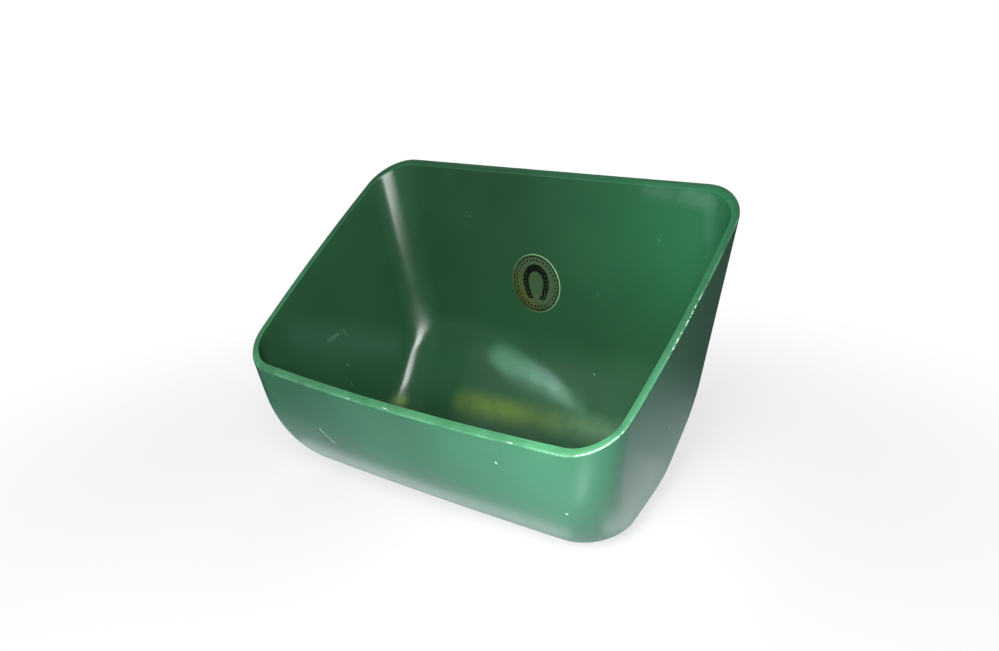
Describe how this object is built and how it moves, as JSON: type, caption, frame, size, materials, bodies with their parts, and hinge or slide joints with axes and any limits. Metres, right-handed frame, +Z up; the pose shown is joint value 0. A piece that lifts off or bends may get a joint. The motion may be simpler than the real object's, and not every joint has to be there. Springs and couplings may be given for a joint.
{
  "type": "feed trough",
  "caption": "Free-standing moulded feed trough with a sloping open rim, a flat back wall, a rounded bottom and a round domed label inside.",
  "frame": {"origin": "bottom centre of the trough's box, on the plane that it stands on", "axes": "+X to the right seen from the front, +Y towards the flat back wall, +Z up"},
  "size_m": [0.3684, 0.194, 0.2393],
  "materials": {
    "moulded_green": "satin",
    "printed_film": "printed",
    "clear_resin": "clear gloss"
  },
  "bodies": {
    "root": {"trough_shell": "moulded_green", "label_film": "printed_film", "label_dome": "clear_resin"}
  },
  "joints": []
}
